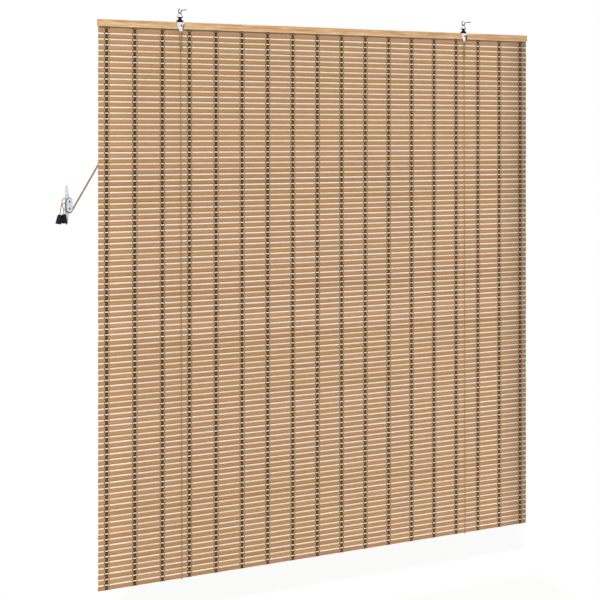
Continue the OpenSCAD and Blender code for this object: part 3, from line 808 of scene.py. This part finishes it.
def facePlate(side):
    node = "face_plate_" + side
    low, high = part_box(node)
    x = (low.x + high.x) / 2
    heart = low.z + shield["heart"] * (high.z - low.z)
    outline = shieldOutline((high.x - low.x) / 2, high.z, low.z)
    n = len(outline)
    reach = [i / shield["rings"] for i in range(1, shield["rings"] + 1)]
    layers = [(shield["inset"] * t, low.y + shield["rim"] * t ** shield["crown"]) for t in reach]
    layers += [(1.0, low.y + shield["rim"] + shield["edge"]), (1.0, high.y)]
    verts = [(x, low.y, heart)]
    for t, y in layers:
        verts += [(x + t * px, y, heart + t * (pz - heart)) for px, pz in outline]
    verts.append((x, high.y, heart))
    faces = [(0, 1 + j, 1 + (j + 1) % n) for j in range(n)]
    for i in range(len(layers) - 1):
        a, b = 1 + i * n, 1 + (i + 1) * n
        faces += [(a + j, b + j, b + (j + 1) % n, a + (j + 1) % n) for j in range(n)]
    last = 1 + (len(layers) - 1) * n
    faces += [(last + j, len(verts) - 1, last + (j + 1) % n) for j in range(n)]
    plate = meshObject("facePlate." + side, verts, faces, finishes["plate"])
    fixNormals(plate)
    eyeAt = Vector((x, (low.y + high.y) / 2, low.z + shield["tip"]))
    eye, bore = shield["eye"], shield["bore"]
    borer = lathe("eyeBorer", [(0, -bore), (eye, -bore), (eye, bore), (0, bore)],
                  eyeAt, (0, 1, 0), finishes["plate"], sides=24)
    cut = plate.modifiers.new("eye", "BOOLEAN")
    cut.operation = "DIFFERENCE"
    cut.object = borer
    graph = bpy.context.evaluated_depsgraph_get()
    bored = bpy.data.meshes.new_from_object(plate.evaluated_get(graph))
    plate.modifiers.clear()
    plate.data = bored
    bpy.data.objects.remove(borer)
    bored.shade_smooth()
    bored.set_sharp_from_angle(angle=math.radians(shield["sharp"]))
    finishPiece(plate, "blind", "plate_steel", node)


for side in ("left", "right"):
    facePlate(side)
print("face plates made")


# hooks and rings

hangerX = {"left": -532 * mm, "right": 532 * mm}
hook = {"wire": 1.45 * mm, "bend": 7 * mm, "elbow": 2 * mm, "shank": 4 * mm, "thread": 22 * mm,
        "threadPitch": 1.3 * mm, "threadDepth": 0.28 * mm, "threadEnd": -1 * mm, "point": 2.4 * mm,
        "step": 0.3 * mm, "taper": 3 * mm, "tip": 0.12, "nose": 4}
hookTail = -hook["thread"] - hook["point"]


def hookPath(x):
    threaded = int(-hookTail / hook["step"])
    path = [Vector((x, hookTail + i * hook["step"], 0)) for i in range(threaded)]
    path += [Vector((x, y * mm, 0)) for y in (0.5, 2, 3)]
    for i in range(7):
        a = math.pi / 2 * (1 - i / 6)
        path.append(Vector((x, hook["shank"] + hook["elbow"] * math.cos(a),
                            -hook["elbow"] + hook["elbow"] * math.sin(a))))
    centre = Vector((x, hook["shank"] + hook["elbow"] + hook["bend"], -hook["elbow"]))
    for i in range(1, 37):
        a = math.pi * (1 + 1.5 * i / 36)
        path.append(centre + Vector((0, math.cos(a), math.sin(a))) * hook["bend"])
    return path


def hookRadius(path):
    def radius(i, angle):
        y = path[i].y
        r = hook["wire"]
        toEnd = len(path) - i
        if path[i].z == 0 and y < hook["threadEnd"]:
            turn = (y / hook["threadPitch"] + angle / (2 * math.pi)) % 1.0
            r -= hook["threadDepth"] * (1 - abs(2 * turn - 1))
            r *= min(1.0, hook["tip"] + (y - hookTail) / hook["taper"])
        elif toEnd <= hook["nose"]:
            r *= math.sqrt(max(0.04, 1 - ((hook["nose"] + 1 - toEnd) / (hook["nose"] + 0.2)) ** 2))
        return r
    return radius


ring = {"apex": 2.85 * mm, "corner": 1.65 * mm}


def ringPath(node):
    low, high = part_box(node)
    wire = (high.y - low.y) / 2
    x, y = (low.x + high.x) / 2, (low.y + high.y) / 2
    half = (high.x - low.x) / 2 - wire
    bar = low.z + wire
    apexR, cornerR = ring["apex"], ring["corner"]
    apexZ = high.z - wire - apexR
    corner = Vector((half - cornerR, bar + cornerR))
    leg = corner - Vector((0, apexZ))
    lean = math.atan2(leg.y, leg.x) + math.acos((apexR - cornerR) / leg.length)
    arcs = [((0, apexZ), apexR, lean, math.pi - lean, 14),
            ((-corner.x, corner.y), cornerR, math.pi - lean, 1.5 * math.pi, 10),
            ((corner.x, corner.y), cornerR, -0.5 * math.pi, lean, 10)]
    path = []
    for (cx, cz), r, a0, a1, steps in arcs:
        for i in range(steps + 1):
            a = a0 + (a1 - a0) * i / steps
            path.append(Vector((x + cx + r * math.cos(a), y, cz + r * math.sin(a))))
    return path, wire


for side, x in hangerX.items():
    path = hookPath(x)
    piece = tube("wallHook." + side, path, hook["wire"], finishes["wire"], sides=16,
                 radii=hookRadius(path))
    finishPiece(piece, "wall_fixings", "hook_steel", "wall_hook_" + side)
    path, wire = ringPath("hanger_ring_" + side)
    piece = tube("hangerRing." + side, path, wire, finishes["ring"], sides=14, closed=True)
    finishPiece(piece, "blind", "ring_steel", "hanger_ring_" + side)
print("hooks and rings made")


# cords

cordRadius = 1.25 * mm
axle = {"z": -44 * mm, "wrap": 6.05 * mm, "innerY": 23.3 * mm, "outerY": 28.9 * mm, "top": 90, "leave": 146}
# routes are in millimetres
liftRoute = [
    (2.5, 9.5, -804), (5, 9.5, -1629), (5.2, 9.6, -1638), (5.3, 11, -1642), (5.4, 15, -1642),
    (5.5, 16.5, -1638), (5.5, 16.6, -1629), (5.8, 20, -804), (6.05, 23.3, -54)]
pullRoutes = {
    "inner": [(-537.3, 23.3, -41), (-620, 21, -170), (-710, 18.9, -311), (-800, 17, -450),
              (-885, 5.5, -570)],
    "outer": [(-537.3, 28.9, -41), (-620, 25.8, -168), (-710, 22.5, -308), (-800, 19.5, -447),
              (-885, 8, -567)]}
tailEnds = {
    "left": [(-919, 8.4, -562), (-922, 9, -580)],
    "right": [(-910.5, 8.8, -565), (-909.5, 9.2, -578)]}


def metres(route, dx=0.0):
    return [Vector((x * mm + dx, y * mm, z * mm)) for x, y, z in route]


def wheelWrap(x, y, start, stop, steps):
    out = []
    for i in range(steps + 1):
        a = math.radians(start + (stop - start) * i / steps)
        out.append(Vector((x + axle["wrap"] * math.cos(a), y, axle["z"] + axle["wrap"] * math.sin(a))))
    return out


# the tied loop under a plate: where the cord leaves the eye, its spread, and the hitch that closes it
tie = {"eyeZ": -60.75 * mm, "hitchX": 0.4 * mm, "hitchY": 7.7 * mm, "hitchZ": -98 * mm, "turns": 3,
       "rise": 2.6 * mm, "spread": 5.2 * mm, "coil": 2.5 * mm}


def liftPath(x):
    spread, hitchY, hitchZ, eyeZ = tie["spread"], tie["hitchY"], tie["hitchZ"], tie["eyeZ"]
    hitchX = x + tie["hitchX"]
    head = [Vector((x, 5 * mm, eyeZ)), Vector((x, 8.2 * mm, eyeZ - 0.6 * mm)),
            Vector((x + 0.7 * spread, 9 * mm, eyeZ - 6 * mm)),
            Vector((x + spread, 9 * mm, eyeZ - 16 * mm)),
            Vector((hitchX, hitchY, hitchZ)), Vector((hitchX, hitchY, hitchZ - 10 * mm)),
            Vector((x + 0.5 * mm, 9.4 * mm, hitchZ - 28 * mm))]
    return evenly(rounded(head + metres(liftRoute, x), 6 * mm), 40 * mm)


def tiePath(x):
    # the other strand of the loop, then its turns round the first one and a short end
    spread, hitchY, hitchZ, eyeZ = tie["spread"], tie["hitchY"], tie["hitchZ"], tie["eyeZ"]
    lead = [Vector((x, 5 * mm, eyeZ)), Vector((x - 0.2 * mm, 3.2 * mm, eyeZ - 0.4 * mm)),
            Vector((x - 0.8 * spread, 3.8 * mm, eyeZ - 6 * mm)),
            Vector((x - spread, 6.6 * mm, eyeZ - 17 * mm)),
            Vector((x - 2.4 * mm, hitchY - 0.4 * mm, hitchZ + 1.5 * mm))]
    path = rounded(lead, 4 * mm)
    steps = 14 * tie["turns"]
    for i in range(1, steps + 1):
        a = math.pi + 2 * math.pi * tie["turns"] * i / steps
        z = hitchZ - tie["rise"] * tie["turns"] * i / steps
        path.append(Vector((x + tie["hitchX"] + tie["coil"] * math.cos(a),
                            hitchY - tie["coil"] * math.sin(a), z)))
    last = path[-1]
    return path + [last + Vector((-1.2 * mm, -0.6 * mm, -3 * mm)),
                   last + Vector((-2.6 * mm, -0.3 * mm, -9 * mm))]


for side, stop in (("left", axle["leave"]), ("right", axle["top"])):
    x = hangerX[side]
    path = liftPath(x) + wheelWrap(x, axle["innerY"], 0, stop, steps=14)
    piece = tube("liftCord." + side, path, cordRadius, finishes["cord"])
    finishPiece(piece, "blind", "cord", "lift_cord_" + side)
    piece = tube("liftTie." + side, tiePath(x), cordRadius, finishes["cord"])
    finishPiece(piece, "blind", "cord")
path = [Vector((hangerX["right"], axle["innerY"], axle["z"] + axle["wrap"]))]
path += wheelWrap(hangerX["left"], axle["outerY"], axle["top"], axle["leave"], steps=8)
piece = tube("crossCord", evenly(path, 40 * mm), cordRadius, finishes["cord"])
finishPiece(piece, "blind", "cord", "cross_cord")

for name, route in pullRoutes.items():
    path = evenly(rounded(metres(route), 40 * mm), 12 * mm)
    piece = tube("pullCord." + name, path, cordRadius, finishes["cord"])
    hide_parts("pull_cord_" + name)
    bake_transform(piece)
    print("pull cord", name, round(pathLength(path), 3), "m")

# turns round the cleat's post: wide turns carry the first pass, tight ones lie inside them,
# and each tail leaves them in a loop of about two cord thicknesses
cleatTurn = {"x": -896, "z": -554, "arcZ": 10.5, "wide": 11.1, "tight": 8.4, "deep": 4.3, "proud": 8.0,
             "leftLoop": (-13.6, 14.2, 5.2), "rightLoop": (-13.9, 1.0, 5.0)}


def onPost(x, y, z):
    return (cleatTurn["x"] + x, y, cleatTurn["z"] + z)


def turnArc(x, z, r0, r1, a0, a1, y0, y1, steps=14):
    out = []
    for i in range(steps + 1):
        t = i / steps
        a = math.radians(a0 + (a1 - a0) * t)
        r = r0 + (r1 - r0) * t
        out.append(onPost(x + r * math.cos(a), y0 + (y1 - y0) * t, z + r * math.sin(a)))
    return out


def wrapRoutes():
    wide, tight, arcZ = cleatTurn["wide"], cleatTurn["tight"], cleatTurn["arcZ"]
    deep, proud = cleatTurn["deep"], cleatTurn["proud"]
    x, z, r = cleatTurn["leftLoop"]
    left = [pullRoutes["inner"][-1]]
    left += turnArc(0, -arcZ, wide + 0.4, wide, -50, -180, deep + 0.6, deep)
    left += turnArc(0, arcZ, wide, wide - 1.2, 180, 0, deep, deep)
    left += turnArc(0, -arcZ, tight + 0.2, tight, 0, -180, deep, deep)
    left += [onPost(-tight, deep + 0.2, 0), onPost(-tight - 0.1, 5.8, 7)]
    left += turnArc(x, z, r, r, 0, 169, 7.3, 7.4) + tailEnds["left"]
    x, z, r = cleatTurn["rightLoop"]
    right = [pullRoutes["outer"][-1]]
    right += turnArc(0, -arcZ, wide + 0.3, wide, -35, -180, proud, proud)
    right += turnArc(x, z, r, r, -8, 205, 8.2, 8.4) + tailEnds["right"]
    return {"left": left, "right": right}


def spacedPath(points, step):
    count = max(2, round(pathLength(points) / step))
    return spaced(points, count) + [points[-1]]


def eased(points, passes=4):
    # evenly spaced along a route, with its corners worn round
    path = spacedPath(points, 1.2 * mm)
    for _ in range(passes):
        inner = [(a + 2 * b + c) / 4 for a, b, c in zip(path, path[1:], path[2:])]
        path = [path[0]] + inner + [path[-1]]
    return spacedPath(path, 2 * mm)


for side, route in wrapRoutes().items():
    path = eased(metres(route))
    dress("cord_pull_" + side, finishes["black"])
    piece = tube("cordTail." + side, path, cordRadius, finishes["cord"])
    nodes = ["cord_tail_" + side] + (["cleat_winding"] if side == "left" else [])
    finishPiece(piece, "wall_fixings", "cord", *nodes)
    print("turns and tail", side, round(pathLength(path), 3), "m")
print("cords laid")


# light, floor and camera

# the dark card at the right shows only in what mirrors it
studio = {"floorDrop": 0.12, "floorReach": 12, "floorGlow": 0.9, "cardHeading": (0.914, -0.407, 0.0),
          "cardEdge": (0.95, 0.97), "cardDark": 0.04, "fill": 0.3}


def stageSheet(name, corners, finish):
    obj = meshObject(name, corners, [(0, 1, 2, 3)], finish, smooth=False)


def paleStage():
    mat, tree, shader = startMaterial("paleStage", 0.9)
    shader.inputs["Base Color"].default_value = white
    glow = put(tree, "ShaderNodeEmission", {"Color": white, "Strength": 1.0})
    rays = put(tree, "ShaderNodeLightPath").outputs
    seen = math2(tree, "MAXIMUM", rays["Is Camera Ray"], math2(
        tree, "MAXIMUM", rays["Is Glossy Ray"], rays["Is Transmission Ray"]))
    both = put(tree, "ShaderNodeMixShader", {
        0: math2(tree, "MULTIPLY", seen, studio["floorGlow"]), 1: shader.outputs[0], 2: glow.outputs[0]})
    tree.links.new(both.outputs[0], tree.nodes["Material Output"].inputs["Surface"])
    return mat


floorZ = matLow.z - studio["floorDrop"]
far = studio["floorReach"]
stageSheet("floor", [(-far, -far, floorZ), (far, -far, floorZ), (far, far, floorZ), (-far, far, floorZ)],
           paleStage())

world = bpy.data.worlds.new("studio")
bpy.context.scene.world = world
world.use_nodes = True
sky = world.node_tree
skyRays = put(sky, "ShaderNodeLightPath").outputs
skySeen = math2(sky, "MAXIMUM", skyRays["Is Glossy Ray"], skyRays["Is Transmission Ray"])
heading = put(sky, "ShaderNodeTexCoord").outputs["Generated"]
facing = put(sky, "ShaderNodeVectorMath", {0: heading, 1: studio["cardHeading"]}, operation="DOT_PRODUCT")
card = ranged(sky, facing.outputs["Value"], *studio["cardEdge"], 1.0, studio["cardDark"])
mirrored = math2(sky, "MULTIPLY", skySeen, card)
soft = math2(sky, "MULTIPLY", math2(sky, "SUBTRACT", 1.0, skySeen), studio["fill"])
strength = math2(sky, "MAXIMUM", skyRays["Is Camera Ray"], math2(sky, "ADD", mirrored, soft))
sky.nodes["Background"].inputs["Color"].default_value = white
sky.links.new(strength, sky.nodes["Background"].inputs["Strength"])


def sunLamp(name, heading, spread, power):
    data = bpy.data.lights.new(name, "SUN")
    data.angle = math.radians(spread)
    data.energy = power
    obj = bpy.data.objects.new(name, data)
    bpy.context.scene.collection.objects.link(obj)
    obj.rotation_euler = Vector(heading).to_track_quat("-Z", "Y").to_euler()


sunLamp("keyLamp", (0.5, 0.62, -0.62), 4, 2.05)
sunLamp("roomLamp", (-0.4, -0.75, -0.5), 12, 1.6)

camera = {
    "place": (-3.315, midY - 4.590, -0.3478),
    "yaw": 34.95,
    "focalPixels": 1855,
    "frame": 600,
    "centreColumn": 300.55,
    "horizonRow": 130.85,
    "sensor": 36.0,
}
lens = bpy.data.cameras.new("photoCamera")
lens.sensor_width = camera["sensor"]
lens.lens = camera["focalPixels"] / camera["frame"] * camera["sensor"]
lens.shift_x = (camera["frame"] / 2 - camera["centreColumn"]) / camera["frame"]
lens.shift_y = (camera["horizonRow"] - camera["frame"] / 2) / camera["frame"]
lens.clip_end = 100
eye = bpy.data.objects.new("photoCamera", lens)
bpy.context.scene.collection.objects.link(eye)
eye.location = camera["place"]
eye.rotation_euler = (math.pi / 2, 0, -math.radians(camera["yaw"]))
bpy.context.scene.camera = eye
bpy.context.scene.view_settings.view_transform = "Standard"
print("camera and light set")
